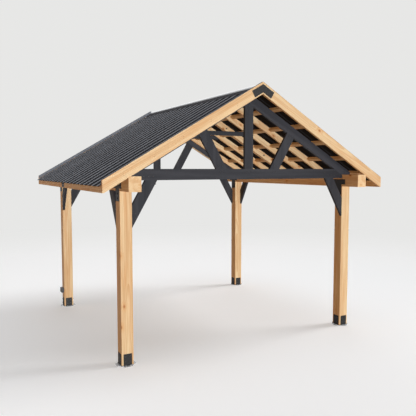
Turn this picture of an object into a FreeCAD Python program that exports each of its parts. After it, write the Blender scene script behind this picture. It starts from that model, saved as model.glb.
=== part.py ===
"""Hardtop gazebo: four cedar posts, two side beams, two charcoal trusses, a rafter and purlin
roof, and ribbed steel roofing.

Millimetres. X runs right across the gable front, Y runs from the front gable to the back one,
Z is up, and the feet stand on Z = 0 with the ridge over the middle of the floor.
"""
import FreeCAD
import Part
import Sketcher
import math
import os

os.makedirs("parts", exist_ok=True)
doc = FreeCAD.newDocument("HardtopGazebo")

SIZES = (
    ("post_width", 150, "square cedar post, both ways"),
    ("post_height", 2100, "floor to the underside of the side beams"),
    ("post_line_across", 1707, "middle of the gazebo to the middle of a post, across the gable"),
    ("post_line_along", 1520, "middle of the gazebo to the middle of a post, along the ridge"),
    ("eased_edge", 4, "planed-off corner on posts and beams"),
    ("foot_margin", 4, "steel foot plate past each face of the post"),
    ("foot_thickness", 10, "thickness of the foot plate"),
    ("cheek_width", 106, "steel cheek on each face of a post's foot"),
    ("cheek_height", 146, "floor to the top of a cheek"),
    ("flange_reach", 42, "anchor flange, bent out on the floor from the foot of a cheek"),
    ("plate_thickness", 4, "steel of cheeks, straps and splice plates"),
    ("beam_height", 175, "side beam, standing on the posts"),
    ("roof_pitch", 30.2, "slope of both roof faces in degrees"),
    ("eave_overhang", 373, "middle of a post to the end of a rake board, across the gable"),
    ("gable_overhang", 394, "middle of a post to the face of the rake boards, along the ridge"),
    ("roof_over_beam", 135.35, "outer top edge of a side beam up to the rakes' top line, plumb"),
    ("rake_depth", 150, "rake board, measured plumb"),
    ("tail_cut", 8, "height that the level cut takes off a rake's tail"),
    ("board_thickness", 38, "rakes, rafters, purlins, ridge and truss members"),
    ("sheet_drop", 54, "plumb drop from the rakes' top line to the underside of the roofing"),
    ("rafter_depth", 86, "rafter, square to the slope"),
    ("rafter_bays", 6, "bays between the rafters of one roof face"),
    ("last_rafter_gap", 79, "middle of the last rafter to the inner face of the truss"),
    ("truss_setback", 2, "truss behind the front faces of the posts"),
    ("truss_width", 134, "struts, king post and knee braces of the trusses"),
    ("top_chord_depth", 134, "truss top chord, measured plumb"),
    ("chord_set_down", 53, "top of the side beams down to the underside of the bottom chord"),
    ("bottom_chord_depth", 136, "truss bottom chord, top to bottom"),
    ("king_post_width", 130, "upright in the middle of a truss"),
    ("strut_foot", 415, "middle of the truss to the middle of a strut's foot"),
    ("strut_angle", 60, "struts and knee braces, degrees up from level"),
    ("knee_drop", 440, "underside of the side beams down to the toe of a knee brace"),
    ("joint_gap", 0.3, "hairline where two boards meet end to end"),
    ("tie_drop", 516.5, "top of the rakes at the ridge down to the top of a collar tie"),
    ("tie_height", 64, "collar tie, top to bottom"),
    ("purlin_width", 58, "purlin, down the slope"),
    ("purlin_count", 5, "purlins on one roof face"),
    ("purlin_first", 350, "middle to the upper edge of the first purlin, level"),
    ("purlin_last", 248, "back of the eave board to the upper edge of the last purlin, level"),
    ("eave_thickness", 22, "eave board"),
    ("splice_length", 120, "steel plate over the joint in an eave board"),
    ("splice_margin", 11, "edge of the eave board to the edge of that plate"),
    ("sheet_thickness", 1.5, "roofing sheet and flashings"),
    ("rib_height", 10, "height of a rib of the roofing sheet"),
    ("rib_count", 20, "ribs along one roof face"),
    ("rib_top", 44, "flat on top of a rib"),
    ("rib_side", 10, "level width of a rib's sloping side"),
    ("sheet_overhang", 30, "sheet past the face of the eave board, level"),
    ("sheet_side_gap", 2, "edge of the roofing to the back of a rake board"),
    ("sheet_ridge_gap", 12, "middle of the ridge to the upper end of a sheet, level"),
    ("cap_half_width", 130, "ridge cap, ridge to its edge, level"),
    ("ridge_roll_radius", 20, "hollow roll along the top of the ridge cap, to its outside"),
    ("flashing_flange", 60, "gable flashing over the roofing sheet"),
    ("strap_arm_length", 275, "tee strap along a side beam"),
    ("strap_arm_height", 75, "the same arm, top to bottom"),
    ("strap_arm_rise", 30, "underside of the beam up to the underside of that arm"),
    ("strap_leg_width", 120, "tee strap's leg on the post"),
    ("strap_leg_drop", 122, "underside of the beam down to the bottom of the leg"),
    ("apex_plate_run", 166, "chevron plate on the rakes, ridge to its outer corner, level"),
    ("apex_plate_drop", 29, "plumb drop from the rakes' top line to the chevron plate"),
    ("apex_plate_depth", 104, "chevron plate, measured plumb"),
    ("outlet_width", 112, "covered power outlet on the back left post"),
    ("outlet_height", 78, "the same box, top to bottom"),
    ("outlet_depth", 42, "the same box, out from the post"),
    ("outlet_rise", 95, "top of a foot's cheeks up to the underside of the box"),
)

sheet = doc.addObject("Spreadsheet::Sheet", "Sizes")
for row, (name, value, meaning) in enumerate(SIZES, start=1):
    sheet.set("A%d" % row, meaning)
    sheet.set("B%d" % row, str(value))
    sheet.setAlias("B%d" % row, name)
doc.recompute()


class Size:
    """A length that keeps the formula it comes from."""

    def __init__(self, value, formula):
        self.value = float(value)
        self.formula = formula

    def __add__(self, other):
        other = size(other)
        return Size(self.value + other.value, "(%s + %s)" % (self.formula, other.formula))

    def __sub__(self, other):
        other = size(other)
        return Size(self.value - other.value, "(%s - %s)" % (self.formula, other.formula))

    def __mul__(self, other):
        other = size(other)
        return Size(self.value * other.value, "(%s * %s)" % (self.formula, other.formula))

    def __truediv__(self, other):
        other = size(other)
        return Size(self.value / other.value, "(%s / %s)" % (self.formula, other.formula))

    def __neg__(self):
        return Size(-self.value, "(0 - %s)" % self.formula)


def size(number):
    if isinstance(number, Size):
        return number
    return Size(number, "(%s)" % number)


def tangent(angle):
    return Size(math.tan(math.radians(angle.value)), "tan(%s)" % angle.formula)


def sine(angle):
    return Size(math.sin(math.radians(angle.value)), "sin(%s)" % angle.formula)


def cosine(angle):
    return Size(math.cos(math.radians(angle.value)), "cos(%s)" % angle.formula)


S = {name: Size(value, "Sizes." + name) for name, value, meaning in SIZES}

SLOPE = tangent(S["roof_pitch"])
SLOPE_COS = cosine(S["roof_pitch"])
SLOPE_SIN = sine(S["roof_pitch"])
BEAM_TOP = S["post_height"] + S["beam_height"]
BEAM_INNER = S["post_line_across"] - S["post_width"] / 2
BEAM_OUTER = S["post_line_across"] + S["post_width"] / 2
RAKE_FACE = S["post_line_along"] + S["gable_overhang"]
RAKE_BACK = RAKE_FACE - S["board_thickness"]
RAKE_END = S["post_line_across"] + S["eave_overhang"]
EAVE_BACK = RAKE_END - S["eave_thickness"]
APEX = BEAM_TOP + S["roof_over_beam"] + BEAM_OUTER * SLOPE
SHEET_DROP = S["sheet_drop"]
FRAME_DROP = SHEET_DROP + S["board_thickness"] / SLOPE_COS
RAFTER_LOW = SHEET_DROP + S["rafter_depth"] / SLOPE_COS
CHORD_LOW = FRAME_DROP + S["top_chord_depth"]
RIB_TOP_DROP = SHEET_DROP - (S["rib_height"] + S["sheet_thickness"]) / SLOPE_COS
CHORD_UNDER = BEAM_TOP - S["chord_set_down"]
CHORD_OVER = CHORD_UNDER + S["bottom_chord_depth"]


def roof_line(drop, run):
    """Height of a line that lies a plumb drop under the rakes' top line."""
    return APEX - drop - run * SLOPE


def run_at(drop, height):
    """Distance from the ridge where such a line comes down to a height."""
    return (APEX - drop - height) / SLOPE


TAIL_BOTTOM = roof_line(S["rake_depth"], RAKE_END) + S["tail_cut"]


def left(points):
    """The same outline on the other side of the ridge."""
    return [(-across, up) for across, up in reversed(points)]


PLANES = {"XY": 1, "XZ": -1, "YZ": 1}


def new_body(label):
    body = doc.addObject("PartDesign::Body", label)
    body.Label = label
    if "AllowCompound" in body.PropertiesList:
        body.AllowCompound = True
    return body


def outline(body, name, plane, polygons, level):
    """Closed outlines on one of the body's planes, at a level along the plane's axis."""
    sketch = body.newObject("Sketcher::SketchObject", body.Label + "_" + name)
    plane_feature = [o for o in body.Origin.OriginFeatures if o.Role == plane + "_Plane"][0]
    sketch.AttachmentSupport = (plane_feature, [""])
    sketch.MapMode = "FlatFace"
    level = size(level) * PLANES[plane]
    sketch.setExpression("AttachmentOffset.Base.z", level.formula)
    first = 0
    for polygon in polygons:
        corners = [(size(u), size(v)) for u, v in polygon]
        count = len(corners)
        for i in range(count):
            u, v = corners[i]
            next_u, next_v = corners[(i + 1) % count]
            start = FreeCAD.Vector(u.value, v.value, 0)
            end = FreeCAD.Vector(next_u.value, next_v.value, 0)
            sketch.addGeometry(Part.LineSegment(start, end), False)
        for i in range(count):
            u, v = corners[i]
            edge = first + i
            following = first + (i + 1) % count
            sketch.addConstraint(Sketcher.Constraint("Coincident", edge, 2, following, 1))
            across = sketch.addConstraint(Sketcher.Constraint("DistanceX", -1, 1, edge, 1, u.value))
            sketch.setExpression("Constraints[%d]" % across, u.formula)
            up = sketch.addConstraint(Sketcher.Constraint("DistanceY", -1, 1, edge, 1, v.value))
            sketch.setExpression("Constraints[%d]" % up, v.formula)
        first += count
    return sketch


def pad(body, name, plane, polygons, level, thickness, middle=True):
    """Board or plate: outlines given a thickness, about their level or upward from it."""
    sketch = outline(body, name + "_outline", plane, polygons, level)
    feature = body.newObject("PartDesign::Pad", body.Label + "_" + name)
    feature.Profile = sketch
    feature.SideType = "Symmetric" if middle else "One side"
    feature.Length = size(thickness).value
    feature.setExpression("Length", size(thickness).formula)
    sketch.Visibility = False
    return feature


def cut(body, name, plane, polygons, level, width):
    """Notches of a given width, about their level."""
    sketch = outline(body, name + "_outline", plane, polygons, level)
    feature = body.newObject("PartDesign::Pocket", body.Label + "_" + name)
    feature.Profile = sketch
    feature.SideType = "Symmetric"
    feature.Length = size(width).value
    feature.setExpression("Length", size(width).formula)
    sketch.Visibility = False
    return feature


def pattern(body, original, axis, reach, count):
    """Equal copies of a feature along one of the body's axes."""
    feature = body.newObject("PartDesign::LinearPattern", original.Name + "_pattern")
    feature.Originals = [original]
    axis_feature = [o for o in body.Origin.OriginFeatures if o.Role == axis + "_Axis"][0]
    feature.Direction = (axis_feature, [""])
    feature.Length = reach.value
    feature.setExpression("Length", reach.formula)
    feature.Occurrences = int(size(count).value)
    feature.setExpression("Occurrences", size(count).formula)
    body.Tip = feature
    return feature


def place(body, across=0, along=0, up=0, turn=0):
    """Where a body stands, and its turn about the upright axis."""
    spot = (("x", size(across)), ("y", size(along)), ("z", size(up)))
    upright = FreeCAD.Rotation(FreeCAD.Vector(0, 0, 1), turn)
    base = FreeCAD.Vector(spot[0][1].value, spot[1][1].value, spot[2][1].value)
    body.Placement = FreeCAD.Placement(base, upright)
    for letter, value in spot:
        body.setExpression("Placement.Base." + letter, value.formula)


def rectangle(u0, v0, u1, v1):
    return [(u0, v0), (u1, v0), (u1, v1), (u0, v1)]


def eased_rectangle(half_u, v0, v1):
    """Cross section of a planed timber with its corners taken off."""
    ease = S["eased_edge"]
    return [
        (-half_u + ease, v0), (half_u - ease, v0),
        (half_u, v0 + ease), (half_u, v1 - ease),
        (half_u - ease, v1), (-half_u + ease, v1),
        (-half_u, v1 - ease), (-half_u, v0 + ease),
    ]


nodes = []

# Posts and their steel feet, one at each corner.
CORNERS = (("front_left", -1, -1), ("front_right", 1, -1), ("back_left", -1, 1), ("back_right", 1, 1))
half_post = S["post_width"] / 2
half_foot = half_post + S["foot_margin"]
half_cheek = S["cheek_width"] / 2
cheek_out = half_post + S["plate_thickness"]
flange_out = cheek_out + S["flange_reach"]
for corner, side, end in CORNERS:
    across = S["post_line_across"] * side
    along = S["post_line_along"] * end

    post = new_body("post_" + corner)
    section = eased_rectangle(half_post, -half_post, half_post)
    pad(post, "timber", "XY", [section], S["foot_thickness"], S["post_height"] - S["foot_thickness"], False)
    place(post, across, along)
    nodes.append(post)

    foot = new_body("post_base_" + corner)
    pad(foot, "plate", "XY", [rectangle(-half_foot, -half_foot, half_foot, half_foot)], 0,
        S["foot_thickness"], False)
    cheeks = [
        rectangle(-half_cheek, half_post, half_cheek, cheek_out),
        rectangle(-half_cheek, -cheek_out, half_cheek, -half_post),
        rectangle(half_post, -half_cheek, cheek_out, half_cheek),
        rectangle(-cheek_out, -half_cheek, -half_post, half_cheek),
    ]
    pad(foot, "cheeks", "XY", cheeks, 0, S["cheek_height"], False)
    flanges = [
        rectangle(-half_cheek, half_post, half_cheek, flange_out),
        rectangle(-half_cheek, -flange_out, half_cheek, -half_post),
        rectangle(half_post, -half_cheek, flange_out, half_cheek),
        rectangle(-flange_out, -half_cheek, -half_post, half_cheek),
    ]
    pad(foot, "flanges", "XY", flanges, 0, S["plate_thickness"], False)
    place(foot, across, along)
    nodes.append(foot)

# Side beams on top of the posts, out to the faces of the rake boards.
for name, side in (("left", -1), ("right", 1)):
    beam = new_body("side_beam_" + name)
    section = eased_rectangle(half_post, S["post_height"], BEAM_TOP)
    pad(beam, "timber", "XZ", [section], 0, RAKE_FACE * 2)
    place(beam, S["post_line_across"] * side)
    nodes.append(beam)

# Trusses over the front and back posts.
chord_meets = run_at(CHORD_LOW, CHORD_OVER)
bottom_chord = [
    (-BEAM_INNER, CHORD_UNDER),
    (BEAM_INNER, CHORD_UNDER),
    (BEAM_INNER, roof_line(CHORD_LOW, BEAM_INNER)),
    (chord_meets, CHORD_OVER),
    (-chord_meets, CHORD_OVER),
    (-BEAM_INNER, roof_line(CHORD_LOW, BEAM_INNER)),
]
heel = S["joint_gap"] / 2
top_chord = [
    (heel, roof_line(FRAME_DROP, heel)),
    (heel, roof_line(CHORD_LOW, heel)),
    (run_at(CHORD_LOW, BEAM_TOP), BEAM_TOP),
    (BEAM_OUTER, BEAM_TOP),
    (BEAM_OUTER, roof_line(FRAME_DROP, BEAM_OUTER)),
]
half_king = S["king_post_width"] / 2
king_post = [
    (-half_king, CHORD_OVER),
    (half_king, CHORD_OVER),
    (half_king, roof_line(CHORD_LOW, half_king)),
    (size(0), roof_line(CHORD_LOW, size(0))),
    (-half_king, roof_line(CHORD_LOW, half_king)),
]
LEAN = tangent(S["strut_angle"])
half_strut = S["truss_width"] / 2 / sine(S["strut_angle"])


def strut_top(foot):
    """Where a strut edge that starts at a foot meets the underside of the top chord."""
    run = (APEX - CHORD_LOW - CHORD_OVER + foot * LEAN) / (LEAN + SLOPE)
    return (run, roof_line(CHORD_LOW, run))


strut_inner = S["strut_foot"] - half_strut
strut_outer = S["strut_foot"] + half_strut
strut = [
    (strut_inner, CHORD_OVER),
    (strut_outer, CHORD_OVER),
    strut_top(strut_outer),
    strut_top(strut_inner),
]
knee_low = S["post_height"] - S["knee_drop"]
knee_high = knee_low + S["truss_width"] / cosine(S["strut_angle"])
knee = [
    (BEAM_INNER, knee_low),
    (BEAM_INNER, knee_high),
    (BEAM_INNER - (CHORD_UNDER - knee_high) / LEAN, CHORD_UNDER),
    (BEAM_INNER - (CHORD_UNDER - knee_low) / LEAN, CHORD_UNDER),
]
half_board = S["board_thickness"] / 2
truss_level = S["post_line_along"] + half_post - S["truss_setback"] - half_board
for name, end in (("front", -1), ("back", 1)):
    level = truss_level * end
    members = (
        ("truss_bottom_chord", [bottom_chord]),
        ("truss_top_chords", [top_chord, left(top_chord)]),
        ("truss_king_post", [king_post]),
        ("truss_struts", [strut, left(strut)]),
        ("knee_braces", [knee, left(knee)]),
    )
    for member, shapes in members:
        timber = new_body(name + "_" + member)
        pad(timber, "timber", "XZ", shapes, 0, S["board_thickness"])
        place(timber, 0, level)
        nodes.append(timber)

# Knee braces from the posts up to the side beams, and the tee straps over those joints.
post_back = S["post_line_along"] - half_post
side_knee = [
    (post_back - (S["post_height"] - knee_high) / LEAN, S["post_height"]),
    (post_back - (S["post_height"] - knee_low) / LEAN, S["post_height"]),
    (post_back, knee_low),
    (post_back, knee_high),
]
arm = S["strap_arm_length"] / 2
leg = S["strap_leg_width"] / 2
line = S["post_line_along"]
leg_low = S["post_height"] - S["strap_leg_drop"]
arm_low = S["post_height"] + S["strap_arm_rise"]
arm_high = arm_low + S["strap_arm_height"]
tee = [
    (line - leg, leg_low),
    (line + leg, leg_low),
    (line + leg, arm_low),
    (line + arm, arm_low),
    (line + arm, arm_high),
    (line - arm, arm_high),
    (line - arm, arm_low),
    (line - leg, arm_low),
]
strap_level = half_post + S["plate_thickness"] / 2
for name, side in (("left", -1), ("right", 1)):
    across = S["post_line_across"] * side
    brace = new_body("side_knee_braces_" + name)
    pad(brace, "timber", "YZ", [side_knee, left(side_knee)], 0, S["board_thickness"])
    place(brace, across + (half_post - half_board) * side)
    nodes.append(brace)

    straps = new_body("tee_straps_" + name)
    pad(straps, "outer", "YZ", [tee, left(tee)], strap_level, S["plate_thickness"])
    pad(straps, "inner", "YZ", [tee, left(tee)], -strap_level, S["plate_thickness"])
    place(straps, across)
    nodes.append(straps)

# Ridge board, rafters and collar ties.
inside_truss = truss_level - half_board
ridge = new_body("ridge_board")
pad(ridge, "timber", "XZ", [rectangle(-half_board, roof_line(RAFTER_LOW, half_board),
                                      half_board, roof_line(SHEET_DROP, half_board))],
    0, inside_truss * 2)
nodes.append(ridge)

rafter = [
    (half_board, roof_line(SHEET_DROP, half_board)),
    (half_board, roof_line(RAFTER_LOW, half_board)),
    (run_at(RAFTER_LOW, BEAM_TOP), BEAM_TOP),
    (BEAM_OUTER, BEAM_TOP),
    (BEAM_OUTER, roof_line(RAFTER_LOW, BEAM_OUTER)),
    (EAVE_BACK, roof_line(RAFTER_LOW, EAVE_BACK)),
    (EAVE_BACK, roof_line(SHEET_DROP, EAVE_BACK)),
]


def on_slope(run, drop, down, out):
    """Point reached from a place on a roof line by going down the slope and out from it."""
    return (run + down * SLOPE_COS + out * SLOPE_SIN,
            roof_line(drop, run) - down * SLOPE_SIN + out * SLOPE_COS)


def purlin_row(height):
    """Cross sections of one slope's purlins, standing a height square to the slope."""
    sections = []
    spacing = (EAVE_BACK - S["purlin_last"] - S["purlin_first"]) / (S["purlin_count"] - 1)
    for number in range(int(S["purlin_count"].value)):
        run = S["purlin_first"] + spacing * number
        sections.append([
            on_slope(run, FRAME_DROP, size(0), size(0)),
            on_slope(run, FRAME_DROP, S["purlin_width"], size(0)),
            on_slope(run, FRAME_DROP, S["purlin_width"], height),
            on_slope(run, FRAME_DROP, size(0), height),
        ])
    return sections


# Rafters are let down over the purlins, and the middle one is two boards bolted together
# where the two halves of the roof frame meet.
half_bays = S["rafter_bays"] / 2
rafter_spacing = (inside_truss - S["last_rafter_gap"]) / half_bays
rafter_reach = rafter_spacing * (half_bays - 1)
for name, flip in (("left", True), ("right", False)):
    shape = left(rafter) if flip else rafter
    housings = [left(p) if flip else p for p in purlin_row(S["board_thickness"] * 2)]
    rafters = new_body("rafters_" + name)
    first = pad(rafters, "front", "XZ", [shape], -rafter_spacing - rafter_reach, S["board_thickness"])
    pattern(rafters, first, "Y", rafter_reach, half_bays)
    first = pad(rafters, "back", "XZ", [shape], rafter_spacing, S["board_thickness"])
    pattern(rafters, first, "Y", rafter_reach, half_bays)
    for half, end in (("front", -1), ("back", 1)):
        level = (half_board + S["joint_gap"] / 2) * end
        pad(rafters, "middle_" + half, "XZ", [shape], level, S["board_thickness"])
    cut(rafters, "housings", "XZ", housings, 0, RAKE_FACE * 2)
    nodes.append(rafters)

tie_top = APEX - S["tie_drop"]
tie_bottom = tie_top - S["tie_height"]
tie_high_end = run_at(RAFTER_LOW, tie_top)
tie_low_end = run_at(RAFTER_LOW, tie_bottom)
tie = [(-tie_low_end, tie_bottom), (tie_low_end, tie_bottom),
       (tie_high_end, tie_top), (-tie_high_end, tie_top)]
ties = new_body("collar_ties")
first = pad(ties, "first", "XZ", [tie], -rafter_spacing, S["board_thickness"])
pattern(ties, first, "Y", rafter_spacing * 2, 2)
nodes.append(ties)

# Purlins from rake to rake, over the trusses and through the rafters' tops.
for name, flip in (("left", True), ("right", False)):
    shapes = [left(p) if flip else p for p in purlin_row(S["board_thickness"])]
    purlins = new_body("purlins_" + name)
    pad(purlins, "timber", "XZ", shapes, 0, RAKE_BACK * 2)
    nodes.append(purlins)

# Rake boards on both gables and the chevron plates over their joint.
rake = [
    (heel, roof_line(size(0), heel)),
    (heel, roof_line(S["rake_depth"], heel)),
    (run_at(S["rake_depth"], TAIL_BOTTOM), TAIL_BOTTOM),
    (RAKE_END, TAIL_BOTTOM),
    (RAKE_END, roof_line(size(0), RAKE_END)),
]
plate_low = S["apex_plate_drop"] + S["apex_plate_depth"]
plate_cut = S["apex_plate_depth"] * SLOPE_COS * SLOPE_SIN
plate_inner = S["apex_plate_run"] - plate_cut
chevron = [
    (size(0), roof_line(plate_low, size(0))),
    (plate_inner, roof_line(plate_low, plate_inner)),
    (S["apex_plate_run"], roof_line(S["apex_plate_drop"], S["apex_plate_run"])),
    (size(0), roof_line(S["apex_plate_drop"], size(0))),
    (-S["apex_plate_run"], roof_line(S["apex_plate_drop"], S["apex_plate_run"])),
    (-plate_inner, roof_line(plate_low, plate_inner)),
]
rake_level = RAKE_FACE - half_board
plate_level = RAKE_FACE + S["plate_thickness"] / 2
for name, end in (("front", -1), ("back", 1)):
    for hand, shape in (("left", left(rake)), ("right", rake)):
        board = new_body(name + "_rake_" + hand)
        pad(board, "timber", "XZ", [shape], rake_level * end, S["board_thickness"])
        nodes.append(board)
    plate = new_body(name + "_apex_plate")
    pad(plate, "steel", "XZ", [chevron], plate_level * end, S["plate_thickness"])
    nodes.append(plate)

# Eave boards in two lengths, with a steel plate over the joint.
eave_top = roof_line(SHEET_DROP, RAKE_END)
for name, side in (("left", -1), ("right", 1)):
    eave = new_body("eave_board_" + name)
    halves = [
        rectangle(-RAKE_BACK, TAIL_BOTTOM, -heel, eave_top),
        rectangle(heel, TAIL_BOTTOM, RAKE_BACK, eave_top),
    ]
    pad(eave, "timber", "YZ", halves, (RAKE_END - S["eave_thickness"] / 2) * side,
        S["eave_thickness"])
    nodes.append(eave)
splices = new_body("eave_splice_plates")
splice_low = TAIL_BOTTOM + S["splice_margin"]
splice_high = eave_top - S["splice_margin"]
half_splice = S["splice_length"] / 2
for name, side in (("left", -1), ("right", 1)):
    level = (RAKE_END + S["plate_thickness"] / 2) * side
    plate = rectangle(-half_splice, splice_low, half_splice, splice_high)
    pad(splices, name, "YZ", [plate], level, S["plate_thickness"])
nodes.append(splices)

# Ribbed steel sheets lying on the purlins.
sheet_half = RAKE_BACK - S["sheet_side_gap"]
rib_pitch = sheet_half * 2 / S["rib_count"]
valley = (rib_pitch - S["rib_top"] - S["rib_side"] * 2) / 2
rib_rise = S["rib_height"]
skin = S["sheet_thickness"]
start = -sheet_half
rib = [
    (start, size(0)),
    (start + valley, size(0)),
    (start + valley + S["rib_side"], rib_rise),
    (start + valley + S["rib_side"] + S["rib_top"], rib_rise),
    (start + valley + S["rib_side"] * 2 + S["rib_top"], size(0)),
    (start + rib_pitch, size(0)),
    (start + rib_pitch, skin),
    (start + valley + S["rib_side"] * 2 + S["rib_top"], skin),
    (start + valley + S["rib_side"] + S["rib_top"], rib_rise + skin),
    (start + valley + S["rib_side"], rib_rise + skin),
    (start + valley, skin),
    (start, skin),
]
sheet_start = S["sheet_ridge_gap"]
sheet_run = RAKE_END + S["sheet_overhang"] - sheet_start
for name, side in (("left", -1), ("right", 1)):
    panel = new_body("roof_panel_" + name)
    first = pad(panel, "first_rib", "YZ", [rib], 0, sheet_run / SLOPE_COS, False)
    pattern(panel, first, "Y", rib_pitch * (S["rib_count"] - 1), S["rib_count"])
    run = sheet_start * side
    height = roof_line(SHEET_DROP, sheet_start)
    turn = FreeCAD.Rotation(FreeCAD.Vector(0, 1, 0), S["roof_pitch"].value)
    if side < 0:
        turn = FreeCAD.Rotation(FreeCAD.Vector(0, 0, 1), 180).multiply(turn)
    panel.Placement = FreeCAD.Placement(FreeCAD.Vector(run.value, 0, height.value), turn)
    panel.setExpression("Placement.Base.x", run.formula)
    panel.setExpression("Placement.Base.z", height.formula)
    nodes.append(panel)

# Ridge cap: two wings on the ribs and a rounded hollow roll between them.
ROLL_FACETS = 10


def roll_arc(radius):
    """Corners of the roll from the right wing over the top to the left one, without its feet."""
    corners = []
    for step in range(1, ROLL_FACETS):
        angle = (S["roof_pitch"] * 2 + 180) * step / ROLL_FACETS - S["roof_pitch"]
        up = roof_line(RIB_TOP_DROP, size(0)) + radius * sine(angle)
        corners.append((radius * cosine(angle), up))
    return corners


cap_edge = S["cap_half_width"]
roll_outer = S["ridge_roll_radius"]
roll_inner = roll_outer - skin
outer_foot = roll_outer * SLOPE_COS
inner_foot = roll_inner * SLOPE_COS
cap_outline = [
    (inner_foot, roof_line(RIB_TOP_DROP, inner_foot)),
    (cap_edge, roof_line(RIB_TOP_DROP, cap_edge)),
    (cap_edge, roof_line(RIB_TOP_DROP, cap_edge) + skin),
    (outer_foot, roof_line(RIB_TOP_DROP, outer_foot) + skin),
]
cap_outline += roll_arc(roll_outer)
cap_outline += [
    (-outer_foot, roof_line(RIB_TOP_DROP, outer_foot) + skin),
    (-cap_edge, roof_line(RIB_TOP_DROP, cap_edge) + skin),
    (-cap_edge, roof_line(RIB_TOP_DROP, cap_edge)),
    (-inner_foot, roof_line(RIB_TOP_DROP, inner_foot)),
]
cap_outline += reversed(roll_arc(roll_inner))
flange_in = RAKE_BACK - S["flashing_flange"]
cap = new_body("ridge_cap")
pad(cap, "steel", "XZ", [cap_outline], 0, flange_in * 2)
nodes.append(cap)


def strip(upper, lower):
    """Thin strip that follows the slope from the ridge to the rake tail."""
    return [
        (heel, roof_line(upper, heel)),
        (heel, roof_line(lower, heel)),
        (RAKE_END, roof_line(lower, RAKE_END)),
        (RAKE_END, roof_line(upper, RAKE_END)),
    ]


# Gable flashings over the tops and backs of the rake boards and the sheets' edges.
cover = strip(-skin, size(0))
upright = strip(-skin, RIB_TOP_DROP)
flange = strip(RIB_TOP_DROP - skin, RIB_TOP_DROP)
for name, end in (("front", -1), ("back", 1)):
    flashing = new_body("gable_flashing_" + name)
    cover_level = (RAKE_FACE + RAKE_BACK) / 2
    pad(flashing, "cover", "XZ", [cover, left(cover)], cover_level * end, S["board_thickness"])
    upright_level = RAKE_BACK - skin / 2
    pad(flashing, "upright", "XZ", [upright, left(upright)], upright_level * end, skin)
    flange_level = RAKE_BACK - S["flashing_flange"] / 2
    pad(flashing, "flange", "XZ", [flange, left(flange)], flange_level * end, S["flashing_flange"])
    nodes.append(flashing)

# Covered power outlet low on the outer face of the back left post.
outlet = new_body("outlet_box")
half_outlet = S["outlet_width"] / 2
outlet_low = S["cheek_height"] + S["outlet_rise"]
outlet_face = rectangle(-half_outlet, outlet_low, half_outlet, outlet_low + S["outlet_height"])
pad(outlet, "cover", "YZ", [outlet_face], 0, S["outlet_depth"])
place(outlet, -BEAM_OUTER - S["outlet_depth"] / 2, S["post_line_along"])
nodes.append(outlet)

doc.recompute()

faults = []
for item in doc.Objects:
    if "Invalid" in item.State or "Error" in item.State:
        faults.append(item.Label)
for node in nodes:
    shape = node.Shape
    if shape.isNull() or not shape.isValid() or not shape.Solids:
        faults.append(node.Label)
if faults:
    raise RuntimeError("these need mending: " + ", ".join(faults))

for node in nodes:
    node.Shape.exportStep(os.path.join("parts", node.Label + ".step"))
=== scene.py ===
"""Looks of the hardtop gazebo: cedar and charcoal timber, black brackets and a ribbed steel roof.

Metres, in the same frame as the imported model: X right across the front gable, Y from the front
gable to the back one, Z up from the floor.
"""

import math

import bpy
from mathutils import Matrix, Quaternion, Vector


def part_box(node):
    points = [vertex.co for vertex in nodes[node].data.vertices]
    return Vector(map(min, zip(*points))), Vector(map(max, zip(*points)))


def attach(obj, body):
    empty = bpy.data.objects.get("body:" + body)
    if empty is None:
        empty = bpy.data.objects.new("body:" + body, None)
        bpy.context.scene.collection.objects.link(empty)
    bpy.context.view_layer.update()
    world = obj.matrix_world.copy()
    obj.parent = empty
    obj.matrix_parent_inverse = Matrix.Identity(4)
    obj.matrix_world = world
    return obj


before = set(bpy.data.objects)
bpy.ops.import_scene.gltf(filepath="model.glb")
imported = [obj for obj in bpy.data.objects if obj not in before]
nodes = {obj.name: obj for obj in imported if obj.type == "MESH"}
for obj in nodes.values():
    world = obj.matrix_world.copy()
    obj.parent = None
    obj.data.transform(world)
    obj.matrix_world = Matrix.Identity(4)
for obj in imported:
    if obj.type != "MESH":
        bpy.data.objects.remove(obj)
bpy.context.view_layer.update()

# Driving dimensions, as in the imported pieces. A run is a level distance from the ridge, and a
# drop is a height below the rakes' top line.
ROOF_PITCH = math.radians(30.2)
SLOPE = math.tan(ROOF_PITCH)
TOP_LINE = 3.4475
POST_LOW, POST_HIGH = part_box("post_front_left")
POST_HALF = (POST_HIGH.x - POST_LOW.x) / 2
POST_ACROSS = 1.707
POST_ALONG = 1.520
BRACKET = 0.004
RAFTER_SPACING = 0.492
PURLIN_SPACING = 0.365
PURLIN_RUNS = [0.377 + number * PURLIN_SPACING for number in range(5)]
PURLIN_TOP_DROP = 0.054
SHEET_HALF = 1.874
SHEET_THICKNESS = 0.0015
RIB_COUNT = 20
RIB_PITCH = SHEET_HALF * 2 / RIB_COUNT
RIB_HEIGHT = 0.010
RIB_TOP = 0.044
RIB_SIDE = 0.010
ROLL_RADIUS = 0.020
ROLL_MIDDLE = 3.4068
ROLL_END = 1.8162

ALONG_X = Vector((1, 0, 0))
ALONG_Y = Vector((0, 1, 0))
UPRIGHT = Vector((0, 0, 1))
DOWN_RIGHT = Vector((math.cos(ROOF_PITCH), 0, -math.sin(ROOF_PITCH)))
DOWN_LEFT = Vector((-math.cos(ROOF_PITCH), 0, -math.sin(ROOF_PITCH)))


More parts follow.
